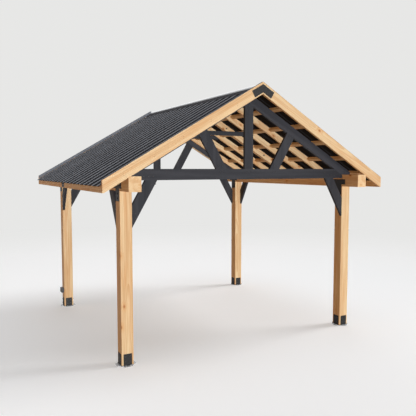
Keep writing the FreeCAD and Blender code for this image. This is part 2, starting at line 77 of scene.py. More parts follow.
class Wire:
    """A value, vector or colour in a finish, with Python's signs for its maths."""

    def __init__(self, finish, socket):
        self.finish = finish
        self.socket = socket

    def maths(self, operation, *values):
        inputs = dict(enumerate(values))
        return self.finish.add("Math", {"operation": operation}, inputs)

    def __add__(self, other):
        return self.maths("ADD", self, other)

    def __radd__(self, other):
        return self.maths("ADD", other, self)

    def __sub__(self, other):
        return self.maths("SUBTRACT", self, other)

    def __rsub__(self, other):
        return self.maths("SUBTRACT", other, self)

    def __mul__(self, other):
        return self.maths("MULTIPLY", self, other)

    def __truediv__(self, other):
        return self.maths("DIVIDE", self, other)

    def __pow__(self, other):
        return self.maths("POWER", self, other)

    def __gt__(self, other):
        return self.maths("GREATER_THAN", self, other)

    def floor(self):
        return self.maths("FLOOR", self)

    def fraction(self):
        return self.maths("FRACT", self)

    def absolute(self):
        return self.maths("ABSOLUTE", self)

    def ease(self, start, end):
        """0 below start and 1 above end, smoothly between."""
        settings = {"interpolation_type": "SMOOTHSTEP"}
        inputs = {"Value": self, "From Min": start, "From Max": end}
        return self.finish.add("MapRange", settings, inputs)

    def fade(self, start, end):
        """1 below start and 0 above end, smoothly between."""
        return 1 - self.ease(start, end)


class Finish:
    """A material in the making, on a Principled shader."""

    def __init__(self, name):
        self.material = bpy.data.materials.new(name)
        self.material.use_nodes = True
        self.tree = self.material.node_tree
        self.shader = self.tree.nodes["Principled BSDF"]
        self.place = self.add("TexCoord", output="Object")

    def add(self, kind, settings=None, inputs=None, output=0):
        """Any node: its type, its settings, and the values or links of its sockets."""
        node = self.tree.nodes.new("ShaderNode" + kind)
        for name, value in (settings or {}).items():
            setattr(node, name, value)
        for name, value in (inputs or {}).items():
            self.feed(node.inputs[name], value)
        return Wire(self, node.outputs[output])

    def feed(self, socket, value):
        if isinstance(value, Wire):
            self.tree.links.new(value.socket, socket)
        else:
            socket.default_value = value

    def set(self, **values):
        """Constants and links on the shader's own sockets, named with _ for a space."""
        for name, value in values.items():
            self.feed(self.shader.inputs[name.replace("_", " ")], value)

    def vector(self, x, y, z):
        return self.add("CombineXYZ", None, {0: x, 1: y, 2: z})

    def vectors(self, operation, first, second, output=0):
        return self.add("VectorMath", {"operation": operation}, {0: first, 1: second}, output)

    def along(self, direction, place=None):
        """Distance along a direction, in metres."""
        return self.vectors("DOT_PRODUCT", place or self.place, tuple(direction), "Value")

    def noise(self, place, scale, detail=3.0, roughness=0.5):
        inputs = {"Vector": place, "Scale": scale, "Detail": detail, "Roughness": roughness}
        return self.add("TexNoise", None, inputs)

    def chance(self, number, output="Value"):
        """A number from 0 to 1, or three, for each whole number."""
        return self.add("TexWhiteNoise", {"noise_dimensions": "1D"}, {"W": number}, output)

    def mix(self, factor, first, second):
        """Colours: first at 0, second at 1."""
        inputs = {0: factor, 6: self.colour(first), 7: self.colour(second)}
        return self.add("Mix", {"data_type": "RGBA"}, inputs, 2)

    def tint(self, colour, strength):
        """A colour, darker under 1 and lighter over it."""
        grey = self.vector(strength, strength, strength)
        return self.vectors("MULTIPLY", colour, grey)

    def colour(self, value):
        return value if isinstance(value, Wire) else (*value, 1)

    def bump(self, height, distance, strength):
        inputs = {"Height": height, "Distance": distance, "Strength": strength}
        return self.add("Bump", None, inputs)


RING_WIDTH = 0.0075
KNOT_CELLS = 7.5
KNOT_CHOICE = 0.66
KNOT_EDGE = (0.008, 0.014)
KNOT_RIM = (0.012, 0.024)
KNOT_HALO = 0.060
GRAIN_RELIEF = 0.0012
PEEL_RELIEF = 0.0002


def timber(name, grain, face, middle, seed, boards=None):
    """The figure of sawn softwood: growth rings, fibres, streaks, knots and a tone for each board.

    grain is the way the board runs, face the way its wide face looks, and middle a point in the
    board. boards, for a node of several boards, is a function that gives each its own number.
    """
    finish = Finish(name)
    grain = Vector(grain).normalized()
    face = Vector(face).normalized()
    side = grain.cross(face)
    place = finish.vectors("SUBTRACT", finish.place, tuple(middle))
    length = finish.along(grain, place)
    width = finish.along(side, place)
    depth = finish.along(face, place)
    number = boards(finish) if boards else 0.0
    luck = finish.chance(number + seed if boards else float(seed), "Color")
    shift = finish.vectors("MULTIPLY", luck, (9.0, 9.0, 9.0))
    tone = finish.chance(number + (seed + 31) if boards else float(seed + 31))

    def stretched(slow, fast):
        spread = finish.vector(length * slow, width * fast, depth * fast)
        return finish.vectors("ADD", spread, shift)

    cells = {"Vector": stretched(0.62, 1.0), "Scale": KNOT_CELLS}
    knot_near = finish.add("TexVoronoi", None, cells, "Distance") / KNOT_CELLS
    knot_luck = finish.add("TexVoronoi", None, cells, "Color")
    knot_pick = finish.along(ALONG_X, knot_luck) > KNOT_CHOICE
    knot = knot_near.fade(*KNOT_EDGE) * knot_pick
    knot_rim = knot_near.fade(*KNOT_RIM) * knot_pick
    halo = knot_near.fade(0.0, KNOT_HALO) * knot_pick

    drift = finish.noise(stretched(0.5, 3.0), 1.0, 2.0)
    wave = finish.noise(stretched(1.7, 6.0), 1.0, 2.0)
    pith_side = (finish.along(ALONG_X, luck) - 0.5) * 0.16
    pith_depth = 0.06 + finish.along(ALONG_Y, luck) * 0.10
    across = (width + pith_side) ** 2 + (depth + pith_depth) ** 2
    radius = (across ** 0.5) + length * 0.007 + (drift - 0.5) * 0.05 + (wave - 0.5) * 0.012
    ring = (radius + halo * 0.012) / RING_WIDTH
    late = ring.fraction() ** 2.2
    streak = finish.noise(stretched(0.9, 16.0), 1.0, 3.0)
    flame = finish.noise(stretched(2.2, 30.0), 1.0, 4.0).ease(0.50, 0.68)
    fibre = finish.noise(stretched(7.0, 420.0), 1.0, 3.0, 0.6)
    finish.figure = {
        "late": late, "streak": streak, "fibre": fibre, "knot": knot, "rim": knot_rim,
        "halo": halo, "tone": tone, "drift": drift, "flame": flame,
    }
    return finish


CEDAR_PALE = (0.780, 0.600, 0.362)
CEDAR_WARM = (0.668, 0.447, 0.240)
CEDAR_LATE = (0.540, 0.262, 0.098)
CEDAR_FLAME = (0.640, 0.330, 0.130)
CEDAR_KNOT = (0.370, 0.125, 0.034)


def cedar(name, grain, face, middle, seed, boards=None):
    """Oiled cedar, pale honey with darker rings, warm streaks and small red-brown knots."""
    finish = timber(name, grain, face, middle, seed, boards)
    part = finish.figure
    base = finish.mix(part["streak"].ease(0.38, 0.66), CEDAR_PALE, CEDAR_WARM)
    base = finish.mix(part["flame"] * 0.45, base, CEDAR_FLAME)
    base = finish.mix(part["late"] * 0.58, base, CEDAR_LATE)
    base = finish.mix(part["halo"] * 0.50, base, CEDAR_FLAME)
    base = finish.mix(part["rim"] * 0.65, base, CEDAR_LATE)
    base = finish.mix(part["knot"] * 0.85, base, CEDAR_KNOT)
    strength = 0.93 + part["tone"] * 0.12 + (part["fibre"] - 0.5) * 0.28
    strength = strength + (part["drift"] - 0.5) * 0.2
    relief = part["late"] * 0.5 + part["fibre"] * 0.6 + part["knot"] * 0.6
    finish.set(
        Base_Color=finish.tint(base, strength),
        Roughness=0.62 - part["late"] * 0.10 - part["knot"] * 0.15,
        Specular_IOR_Level=0.20,
        Normal=finish.bump(relief, GRAIN_RELIEF, 0.55),
    )
    return finish.material


STAIN_DARK = (0.0160, 0.0172, 0.0225)
STAIN_LIGHT = (0.0310, 0.0328, 0.0405)
STAIN_KNOT = (0.030, 0.028, 0.030)


def charcoal(name, grain, face, middle, seed, boards=None, lift=1.0):
    """Charcoal stain that lets the grain show as low relief and faint streaks.

    lift scales the stain's colour, and is above 1 for a member painted lighter.
    """
    finish = timber(name, grain, face, middle, seed, boards)
    part = finish.figure
    base = finish.mix(part["streak"].ease(0.30, 0.72), STAIN_DARK, STAIN_LIGHT)
    base = finish.mix(part["late"] * 0.35, base, STAIN_DARK)
    base = finish.mix(part["knot"] * 0.6, base, STAIN_KNOT)
    strength = (0.94 + part["tone"] * 0.12 + (part["fibre"] - 0.5) * 0.30) * lift
    finish.set(
        Base_Color=finish.tint(base, strength),
        Roughness=0.60 + (part["fibre"] - 0.5) * 0.2,
        Specular_IOR_Level=0.20,
        Normal=finish.bump(part["late"] * 0.7 + part["fibre"] * 0.7, GRAIN_RELIEF, 0.5),
    )
    return finish.material


POWDER = (0.0085, 0.0085, 0.0095)
DUST = (0.040, 0.038, 0.036)
# Patchy bare zinc low on the post bases: partly wear, partly a painted highlight on the flanges.
BARE_ZINC_AND_SHEEN = (0.50, 0.51, 0.53)
WEAR_AND_SHEEN_EDGE = 0.0004


def black_powder(name, wear_and_sheen_below=None):
    """Black powder coat on steel: fine orange peel, a little dust, and bare zinc low down.

    Below a given height, where there is one, the coat gives way to patchy bare zinc: partly wear,
    and partly a painted highlight on the flanges' lit tops.
    """
    finish = Finish(name)
    peel = finish.noise(finish.place, 900.0, 2.0)
    cloud = finish.noise(finish.place, 9.0, 4.0)
    dust = finish.noise(finish.place, 160.0, 3.0).ease(0.52, 0.75) * cloud.ease(0.4, 0.7)
    coat = finish.mix(dust * 0.25, POWDER, DUST)
    roughness = 0.42 + cloud * 0.16 + dust * 0.15
    metal = 0.0
    if wear_and_sheen_below is not None:
        # Bare zinc below the given height is wear and also a painted highlight on the flanges' lit
        # tops.
        scuff = finish.noise(finish.place, 60.0, 4.0).ease(0.30, 0.52)
        metal = finish.along(UPRIGHT).fade(wear_and_sheen_below, wear_and_sheen_below + WEAR_AND_SHEEN_EDGE)
        metal = metal * (0.25 + scuff * 0.70)
        coat = finish.mix(metal, coat, BARE_ZINC_AND_SHEEN)
        roughness = roughness - metal * 0.08
    finish.set(
        Base_Color=coat,
        Roughness=roughness,
        Metallic=metal,
        Specular_IOR_Level=0.28,
        Normal=finish.bump(peel, PEEL_RELIEF, 0.5),
    )
    return finish.material


ROOF_DARK = (0.042, 0.047, 0.056)
ROOF_LIGHT = (0.066, 0.073, 0.086)
# A painted highlight for the ribs' sides, then painted shade for the sheet's underside.
ROOF_BEND_HIGHLIGHT = (0.215, 0.228, 0.255)
ROOF_UNDER_SHADE = (0.022, 0.022, 0.024)
FLASHING_DARK = (0.160, 0.171, 0.196)
FLASHING_LIGHT = (0.212, 0.226, 0.257)
SCREW_DARK = (0.050, 0.060, 0.080)
SCREW_LIGHT = (0.070, 0.083, 0.110)
CAP_DARK = (0.112, 0.120, 0.137)
CAP_LIGHT = (0.150, 0.160, 0.182)
# Metal of the ridge roll, which is also a painted highlight along the ridge.
ROLL_HIGHLIGHT_DARK = (0.50, 0.51, 0.53)
ROLL_HIGHLIGHT_LIGHT = (0.66, 0.67, 0.69)
BEND_BLUR = 0.001


def roof_paint(name, down, seed, low=FLASHING_DARK, top=FLASHING_LIGHT):
    """Dark grey matt coil coat with faint streaks down the slope."""
    finish = Finish(name)
    run = finish.along(down)
    along = finish.along(ALONG_Y)
    height = finish.along(down.cross(ALONG_Y))
    wash = finish.noise(finish.vector(run * 1.2, along * 30.0, height * 30.0 + seed), 1.0, 3.0)
    cloud = finish.noise(finish.place, 2.2, 3.0)
    finish.streak = wash.ease(0.35, 0.75)
    finish.paint = finish.mix(finish.streak * 0.6 + cloud * 0.4, low, top)
    finish.set(
        Base_Color=finish.paint,
        Roughness=0.62 + cloud * 0.08 + finish.streak * 0.06,
        Specular_IOR_Level=0.0,
    )
    return finish


def sheet_paint(name, down, seed):
    """Roof paint with a painted highlight on the ribs' sides and painted shade, nearly black,
    under the sheet.
    """
    finish = roof_paint(name, down, seed, ROOF_DARK, ROOF_LIGHT)
    place = (finish.along(ALONG_Y) + SHEET_HALF) / RIB_PITCH
    off_rib = (place.fraction() * RIB_PITCH - RIB_PITCH / 2).absolute()
    side_start = RIB_TOP / 2
    side_end = side_start + RIB_SIDE
    # Paler paint on both sides of every rib: a painted highlight for the light that the ribs'
    # sides catch.
    bend_highlight = off_rib.ease(side_start - BEND_BLUR, side_start + BEND_BLUR)
    bend_highlight = bend_highlight * off_rib.fade(side_end - BEND_BLUR, side_end + BEND_BLUR)
    paint = finish.mix(bend_highlight * (0.75 + finish.streak * 0.25), finish.paint, ROOF_BEND_HIGHLIGHT)
    # Faces that look down get a near-black colour: painted shade under the sheet.
    upward = finish.along(UPRIGHT, finish.add("NewGeometry", output="Normal")) > 0
    finish.set(Base_Color=finish.mix(upward, ROOF_UNDER_SHADE, paint))
    return finish.material


def ridge_metal(name):
    """Roof paint on the cap's wings, and on its roll pale bare metal with soft streaks, which is
    also a painted highlight along the ridge.
    """
    finish = roof_paint(name, ALONG_Y, 5.0, CAP_DARK, CAP_LIGHT)
    across = finish.along(ALONG_X)
    roll = across.absolute().fade(ROLL_RADIUS + 0.0002, ROLL_RADIUS + 0.0012)
    streaks = finish.vector(across * 400, finish.along(ALONG_Y) * 3, 0)
    brushed = finish.noise(streaks, 1.0)
    # The roll's pale metal also stands as a painted highlight along the ridge.
    roll_highlight = finish.mix(brushed, ROLL_HIGHLIGHT_DARK, ROLL_HIGHLIGHT_LIGHT)
    finish.set(
        Base_Color=finish.mix(roll, finish.paint, roll_highlight),
        Roughness=0.66 - roll * (0.42 - brushed * 0.12),
        Metallic=roll,
    )
    return finish.material


ZINC_DARK = (0.42, 0.43, 0.45)
ZINC_LIGHT = (0.58, 0.59, 0.60)
OXIDE = (0.012, 0.012, 0.013)
OXIDE_WORN = (0.060, 0.058, 0.056)
TAN = (0.42, 0.24, 0.11)
TAN_WORN = (0.52, 0.36, 0.22)
PLASTIC_DARK = (0.016, 0.016, 0.018)
PLASTIC_LIGHT = (0.026, 0.026, 0.028)


def spangled_zinc(name):
    """Zinc with a soft spangle, for the anchors."""
    finish = Finish(name)
    spangle = finish.add("TexVoronoi", None, {"Vector": finish.place, "Scale": 90.0}, "Color")
    tone = finish.along(ALONG_X, spangle)
    finish.set(
        Base_Color=finish.mix(tone, ZINC_DARK, ZINC_LIGHT),
        Roughness=0.38 + tone * 0.14,
        Metallic=0.85,
    )
    return finish.material


def bolt_steel(name):
    """Black oxide heads, rubbed paler where tools and hands reach them."""
    finish = Finish(name)
    worn = finish.noise(finish.place, 260.0, 3.0).ease(0.48, 0.70)
    finish.set(
        Base_Color=finish.mix(worn, OXIDE, OXIDE_WORN),
        Roughness=0.34 + worn * 0.22,
        Metallic=0.35,
    )
    return finish.material


def tan_coat(name):
    """Cedar-toned coating on trim screws."""
    finish = Finish(name)
    worn = finish.noise(finish.place, 300.0, 3.0).ease(0.50, 0.72)
    finish.set(
        Base_Color=finish.mix(worn, TAN, TAN_WORN),
        Roughness=0.48 + worn * 0.12,
    )
    return finish.material


def moulded_plastic(name):
    """Near black plastic with a fine pebbled grain."""
    finish = Finish(name)
    pebble = finish.noise(finish.place, 1400.0, 2.0)
    finish.set(
        Base_Color=finish.mix(pebble, PLASTIC_DARK, PLASTIC_LIGHT),
        Roughness=0.48 + pebble * 0.1,
        Normal=finish.bump(pebble, PEEL_RELIEF, 0.4),
    )
    return finish.material


def dress(node, material):
    """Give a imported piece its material."""
    piece = nodes[node]
    piece.data.materials.clear()
    piece.data.materials.append(material)


def middle_of(node):
    """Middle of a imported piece's box."""
    low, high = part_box(node)
    return (low + high) / 2


def rafter_number(finish):
    """A whole number for each rafter along the ridge, with the middle pair told apart."""
    along = finish.along(ALONG_Y)
    return (along / RAFTER_SPACING + 0.5).floor() * 2 + (along > 0)


def purlin_number(finish):
    """A whole number for each purlin, counted outward from the ridge."""
    return (finish.along(ALONG_X).absolute() / PURLIN_SPACING).floor()


def side_number(direction):
    """1 on the far side of the middle and 0 on the near one, for a pair that shares a node."""
    return lambda finish: (finish.along(direction) > 0) * 1.0


CORNERS = ("front_left", "front_right", "back_left", "back_right")
FRONT = Vector((0, -1, 0))
steel = black_powder("black_powder")
# The post bases' flanges get patchy bare zinc: wear, and a painted highlight where their tops
# catch the light.
foot_steel = black_powder("foot_powder", wear_and_sheen_below=0.0043)
for number, corner in enumerate(CORNERS):
    post = "post_" + corner
    dress(post, cedar("cedar_" + post, UPRIGHT, FRONT, middle_of(post), 11 + number * 7))
    dress("post_base_" + corner, foot_steel)

for number, (name, down) in enumerate((("left", DOWN_LEFT), ("right", DOWN_RIGHT))):
    beam = "side_beam_" + name
    dress(beam, cedar("cedar_" + beam, ALONG_Y, ALONG_X, middle_of(beam), 41 + number * 5))
    rafters = "rafters_" + name
    start = middle_of(rafters)
    dress(rafters, cedar("cedar_" + rafters, down, FRONT, start, 61 + number * 9, rafter_number))
    purlins = "purlins_" + name
    dress(purlins, cedar("cedar_" + purlins, ALONG_Y, down.cross(ALONG_Y),
                         middle_of(purlins), 81 + number * 9, purlin_number))
    eave = "eave_board_" + name
    dress(eave, cedar("cedar_" + eave, ALONG_Y, ALONG_X, middle_of(eave), 101 + number * 3,
                      side_number(ALONG_Y)))
    dress("roof_panel_" + name, sheet_paint("roof_paint_" + name, down, number * 3.0))
    braces = "side_knee_braces_" + name
    dress(braces, charcoal("stain_" + braces, UPRIGHT + ALONG_Y * 0.58, ALONG_X,
                           middle_of(braces), 121 + number, side_number(ALONG_Y)))
    dress("tee_straps_" + name, steel)

for number, gable in enumerate(("front", "back")):
    for hand, down in (("left", DOWN_LEFT), ("right", DOWN_RIGHT)):
        rake = gable + "_rake_" + hand
        seed = 141 + number * 4 + len(hand)
        dress(rake, cedar("cedar_" + rake, down, FRONT, middle_of(rake), seed))
    # The last column scales each member's stain colour; on the top chords it is painted light that
    # offsets the shade the rakes cast on them.
    members = (
        ("_truss_bottom_chord", ALONG_X, None, 1.08),
        ("_truss_top_chords", DOWN_RIGHT, side_number(ALONG_X), 1.55),
        ("_truss_king_post", UPRIGHT, None, 1.05),
        ("_truss_struts", UPRIGHT, side_number(ALONG_X), 1.15),
        ("_knee_braces", UPRIGHT, side_number(ALONG_X), 1.0),
    )
    for count, (member, grain, boards, lift) in enumerate(members):
        node = gable + member
        dress(node, charcoal("stain_" + node, grain, FRONT, middle_of(node),
                             161 + number * 11 + count, boards, lift))
    dress(gable + "_apex_plate", steel)
    flashing = "flashing_" + gable
    dress("gable_" + flashing, roof_paint("roof_paint_" + flashing, DOWN_RIGHT, 7.0).material)

dress("ridge_board", cedar("cedar_ridge_board", ALONG_Y, ALONG_X, middle_of("ridge_board"), 201))
dress("collar_ties", charcoal("stain_collar_ties", ALONG_X, FRONT, middle_of("collar_ties"), 211,
                              side_number(ALONG_Y)))
dress("ridge_cap", ridge_metal("roof_paint_ridge_cap"))
dress("eave_splice_plates", steel)
dress("outlet_box", moulded_plastic("outlet_plastic"))


# Fittings: bolts, screws and small covers, each kind modelled once and copied into place. They
# are drawn looking up, and start a little inside what carries them.
SUNK = -0.001
WASHER_TOP = 0.0022
HEAD_START = 0.002


def deselect():
    """Object mode with nothing selected."""
    if bpy.context.object is not None and bpy.context.object.mode != "OBJECT":
        bpy.ops.object.mode_set(mode="OBJECT")
    bpy.ops.object.select_all(action="DESELECT")


def select_only(things):
    """Select these and make the first one active."""
    deselect()
    for thing in things:
        thing.select_set(True)
    bpy.context.view_layer.objects.active = things[0]


def edit_faces(thing, wanted):
    """Edit mode with only the faces that pass a test selected."""
    select_only([thing])
    bpy.ops.object.mode_set(mode="EDIT")
    bpy.ops.mesh.select_all(action="DESELECT")
    bpy.ops.object.mode_set(mode="OBJECT")
    for face in thing.data.polygons:
        face.select = bool(wanted(face))
    bpy.ops.object.mode_set(mode="EDIT")
    bpy.ops.mesh.select_mode(type="FACE")


def disc(sides, radius, low, high):
    """A closed cylinder about the upright axis, from one height to another."""
    deselect()
    bpy.ops.mesh.primitive_cylinder_add(
        vertices=sides, radius=radius, depth=high - low, location=(0, 0, (low + high) / 2))
    piece = bpy.context.object
    settle([piece])
    return piece


def settle(pieces):
    """Join pieces, with the place and turn of each kept in the mesh."""
    select_only(pieces)
    if len(pieces) > 1:
        bpy.ops.object.join()
    joined = bpy.context.object
    bpy.ops.object.transform_apply(location=True, rotation=True, scale=True)
    return joined


def crown(piece, inset, drop):
    """Draw the top face in and move it, for a chamfer over 0 or a recess under it."""
    top = max(corner.co.z for corner in piece.data.vertices)
    edit_faces(piece, lambda face: face.normal.z > 0.9 and abs(face.center.z - top) < 1e-6)
    bpy.ops.mesh.inset(thickness=inset, use_even_offset=True)
    bpy.ops.transform.translate(value=(0, 0, drop))
    bpy.ops.object.mode_set(mode="OBJECT")


def make_bolt(washer, head, height):
    """Hexagon head with a chamfered crown on a round washer."""
    plate = disc(20, washer, SUNK, WASHER_TOP)
    crown(plate, washer * 0.10, 0.0005)
    hexagon = disc(6, head, HEAD_START, HEAD_START + height)
    crown(hexagon, head * 0.22, height * 0.16)
    return settle([plate, hexagon])


def make_screw(radius, height):
    """Low round head with a sunk drive."""
    head = disc(14, radius, SUNK, height * 0.6)
    crown(head, radius * 0.25, height * 0.4)
    crown(head, radius * 0.32, 0)
    crown(head, radius * 0.04, -height * 0.8)
    return head


def make_roof_screw():
    """Small hexagon head on the dished washer that seals it to the sheet."""
    seal = disc(10, 0.0095, SUNK, 0.0016)
    crown(seal, 0.003, 0.0010)
    hexagon = disc(6, 0.0050, HEAD_START, 0.0068)
    return settle([seal, hexagon])


# Turns, in radians, that follow one another so that the heads don't all stand alike.
TURNS = (0.3, 1.1, 0.0, 0.7, 1.5, 0.5, 0.9)


def fasten(name, master, spots, material):
    """Copies of a fastener at each place, looking the way given there, joined into one piece."""
    copies = []
    for number, (place, facing) in enumerate(spots):
        copy = master.copy()
        copy.data = master.data.copy()
        bpy.context.scene.collection.objects.link(copy)
        facing = Vector(facing).normalized()
        own_turn = Quaternion(facing, TURNS[number % len(TURNS)])
        copy.rotation_mode = "QUATERNION"
        copy.rotation_quaternion = own_turn @ facing.to_track_quat("Z", "Y")
        copy.location = place
        copies.append(copy)
    own(settle(copies), name, material)


def own(piece, name, material):
    """Name a finished fitting, give it its material, and mount it on the body."""
    piece.name = name
    piece.data.name = name
    piece.data.materials.clear()
    piece.data.materials.append(material)
    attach(piece, "root")


def top_line(run):
    """Height of the rakes' top line at a distance from the ridge."""
    return TOP_LINE - run * SLOPE


TRUSS_FACE = 1.593
CHORD_UNDER = 2.222
CHORD_OVER = 2.358


def truss_spots():
    """Pairs of screws where the members of a truss meet, on both trusses' outer faces.

    Each joint gives its place across and its height, then how far its two screws stand from it,
    sideways and upward.
    """
    joints = [
        (0.0, CHORD_OVER - 0.035, 0.03, 0), (0.0, CHORD_OVER + 0.035, 0.03, 0),
        (0.0, 3.160, 0.0, 0.02), (0.0, 3.060, 0.03, 0),
    ]
    for side in (-1, 1):
        joints += [
            (side * 0.435, CHORD_OVER + 0.040, 0.028, 0),
            (side * 0.405, CHORD_OVER - 0.040, 0.028, 0),
            (side * 0.675, 2.800, 0.028, 0),
            (side * 0.660, 2.700, 0.028, 0),
            (side * 1.360, CHORD_UNDER - 0.045, 0.028, 0),
            (side * 1.390, CHORD_UNDER + 0.045, 0.028, 0),
            (side * 1.590, 1.800, 0.0, 0.03),
            (side * 1.700, 2.320, 0.03, 0),
            (side * 1.480, 2.300, 0.0, 0.035),
        ]
    spots = []
    for end in (-1, 1):
        for across, up, spread, rise in joints:
            for step in (-1, 1):
                place = (across + spread * step, end * TRUSS_FACE, up + rise * step)
                spots.append((place, (0, end, 0)))
    return spots


STRAP_FACE = POST_ACROSS + POST_HALF + BRACKET
STRAP_HOLES = (
    (-0.105, 2.1675), (0.0, 2.1675), (0.105, 2.1675), (0.0, 2.012), (0.0, 2.068),
)


def strap_spots():
    """Bolts through the tee straps: three along each arm and two down each leg."""
    spots = []
    for side in (-1, 1):
        for end in (-1, 1):
            for along, up in STRAP_HOLES:
                spots.append(((side * STRAP_FACE, end * POST_ALONG + along, up), (side, 0, 0)))
    return spots


CHEEK_FACE = POST_HALF + BRACKET
CHEEK_HOLES = (0.050, 0.112)
ANCHOR_REACH = 0.101
FOOT_SPREAD = 0.030


def foot_spots():
    """Bolts through the cheeks of the posts' feet, and anchors through the flanges below them."""
    cheeks, anchors = [], []
    for side in (-1, 1):
        for end in (-1, 1):
            post = Vector((side * POST_ACROSS, end * POST_ALONG, 0))
            for out in (ALONG_X, -ALONG_X, ALONG_Y, -ALONG_Y):
                over = UPRIGHT.cross(out)
                for across in (-FOOT_SPREAD, FOOT_SPREAD):
                    start = post + over * across
                    anchors.append((start + out * ANCHOR_REACH + UPRIGHT * BRACKET, UPRIGHT))
                    for up in CHEEK_HOLES:
                        cheeks.append((start + out * CHEEK_FACE + UPRIGHT * up, out))
    return cheeks, anchors


SPLICE_FACE = 2.084


def splice_spots():
    """Screws through the plates over the eave boards' splices, in two rows of four."""
    spots = []
    for side in (-1, 1):
        for along in (-0.045, -0.015, 0.015, 0.045):
            for up in (2.121, 2.157):
                spots.append(((side * SPLICE_FACE, along, up), (side, 0, 0)))
    return spots


RAKE_FACE = 1.914
PLATE_FACE = RAKE_FACE + BRACKET
PLATE_ROWS = ((0.056, (0.028, 0.076, 0.124)), (0.106, (0.020, 0.058, 0.096)))
RAKE_DROPS = (0.070, 0.094)


def apex_spots():
    """Screws through the apex plates, in two rows down each side."""
    spots = []
    for end in (-1, 1):
        for side in (-1, 1):
            for drop, runs in PLATE_ROWS:
                for run in runs:
                    place = (side * run, end * PLATE_FACE, top_line(run) - drop)
                    spots.append((place, (0, end, 0)))
    return spots


def rake_spots():
    """Trim screws through the rakes into each purlin's end."""
    spots = []
    for end in (-1, 1):
        for side in (-1, 1):
            for run in PURLIN_RUNS:
                for drop in RAKE_DROPS:
                    place = (side * run, end * RAKE_FACE, top_line(run) - drop)
                    spots.append((place, (0, end, 0)))
    return spots


PAIR_FACE = 0.0383
PAIR_HOLES = ((0.561, 3.014), (1.300, 2.588))


def middle_rafter_spots():
    """Bolts that clamp the doubled rafters, where the photograph shows their heads."""
    spots = []
    for end in (-1, 1):
        for side in (-1, 1):
            for run, up in PAIR_HOLES:
                spots.append(((side * run, end * PAIR_FACE, up), (0, end, 0)))
    return spots


PAN_DROP = PURLIN_TOP_DROP - SHEET_THICKNESS / math.cos(ROOF_PITCH)
RIB_DROP = PURLIN_TOP_DROP - (SHEET_THICKNESS + RIB_HEIGHT) / math.cos(ROOF_PITCH)
PAN_OFFSET = 0.048
CAP_RUN = 0.105
CAP_REACH = 1.78
FLASHING_ALONG = 1.846
FLASHING_RUNS = [0.20 + number * 0.35 for number in range(6)]


def roof_spots():
    """Sheet screws in the pans beside the ribs, on every purlin, and along cap and flashings."""
    sheet, trim = [], []
    ribs = [-SHEET_HALF + (number + 0.5) * RIB_PITCH for number in range(RIB_COUNT)]
    for side in (-1, 1):
        up = Vector((side * math.sin(ROOF_PITCH), 0, math.cos(ROOF_PITCH)))
        for run in PURLIN_RUNS:
            for rib in ribs:
                sheet.append(((side * run, rib + PAN_OFFSET, top_line(run) - PAN_DROP), up))
        lapped = [(CAP_RUN, rib) for rib in ribs if abs(rib) < CAP_REACH]
        for end in (-1, 1):
            lapped += [(run, end * FLASHING_ALONG) for run in FLASHING_RUNS]
        for run, along in lapped:
            height = top_line(run) - RIB_DROP + SHEET_THICKNESS
            trim.append(((side * run, along, height), up))
    return sheet, trim


def make_roll_stop():
    """Pressed disc that closes the end of the ridge roll."""
    stop = disc(24, 0.0184, -0.0030, 0.0004)
    crown(stop, 0.0030, 0.0010)
    crown(stop, 0.0060, 0)
    crown(stop, 0.0020, -0.0016)
    return stop


def block(middle, size):
    """A closed box, by its middle and its three lengths."""
    deselect()
    bpy.ops.mesh.primitive_cube_add(size=1, location=middle, scale=size)
    return settle([bpy.context.object])


def make_outlet_cover():
    """Weather flap of the outlet box, with a recessed panel, a hinge barrel and a finger lip."""
    flap = block((0, 0, 0.0007), (0.094, 0.060, 0.0034))
    edit_faces(flap, lambda face: True)
    bpy.ops.mesh.bevel(offset=0.0012, segments=2, affect="EDGES")
    bpy.ops.object.mode_set(mode="OBJECT")
    crown(flap, 0.0065, 0)
    crown(flap, 0.0008, -0.0009)
    deselect()
    bpy.ops.mesh.primitive_cylinder_add(
        vertices=16, radius=0.0022, depth=0.070,
        location=(0, 0.0325, 0.0010), rotation=(0, math.pi / 2, 0))
    barrel = settle([bpy.context.object])
    edit_faces(barrel, lambda face: abs(face.normal.x) > 0.9)
    bpy.ops.mesh.inset(thickness=0.0007, use_individual=True)
    bpy.ops.mesh.extrude_region_shrink_fatten(TRANSFORM_OT_shrink_fatten={"value": 0.0010})
    bpy.ops.object.mode_set(mode="OBJECT")
    lip = block((0, -0.0275, 0.0026), (0.026, 0.0045, 0.0022))
    crown(lip, 0.0010, 0.0006)
    cover = settle([flap, barrel, lip])
    low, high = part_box("outlet_box")
    centre = (low + high) / 2
    turn = Matrix(((0, 0, -1), (-1, 0, 0), (0, 1, 0))).to_4x4()
    cover.data.transform(Matrix.Translation((low.x, centre.y, centre.z)) @ turn)
    own(cover, "outlet_cover", nodes["outlet_box"].data.materials[0])


bolt = make_bolt(washer=0.013, head=0.0095, height=0.007)
small_bolt = make_bolt(washer=0.0105, head=0.0075, height=0.0055)
screw = make_screw(radius=0.0068, height=0.0034)
trim_screw = make_screw(radius=0.0042, height=0.0016)
roof_screw = make_roof_screw()
roll_stop = make_roll_stop()

cheek_spots, anchor_spots = foot_spots()
sheet_spots, trim_spots = roof_spots()
roll_ends = [((0, end * ROLL_END, ROLL_MIDDLE), (0, end, 0)) for end in (-1, 1)]
worn_steel = bolt_steel("bolt_steel")
roof_head = roof_paint("roof_screw_paint", UPRIGHT, 9.0, SCREW_DARK, SCREW_LIGHT).material
cap_metal = nodes["ridge_cap"].data.materials[0]

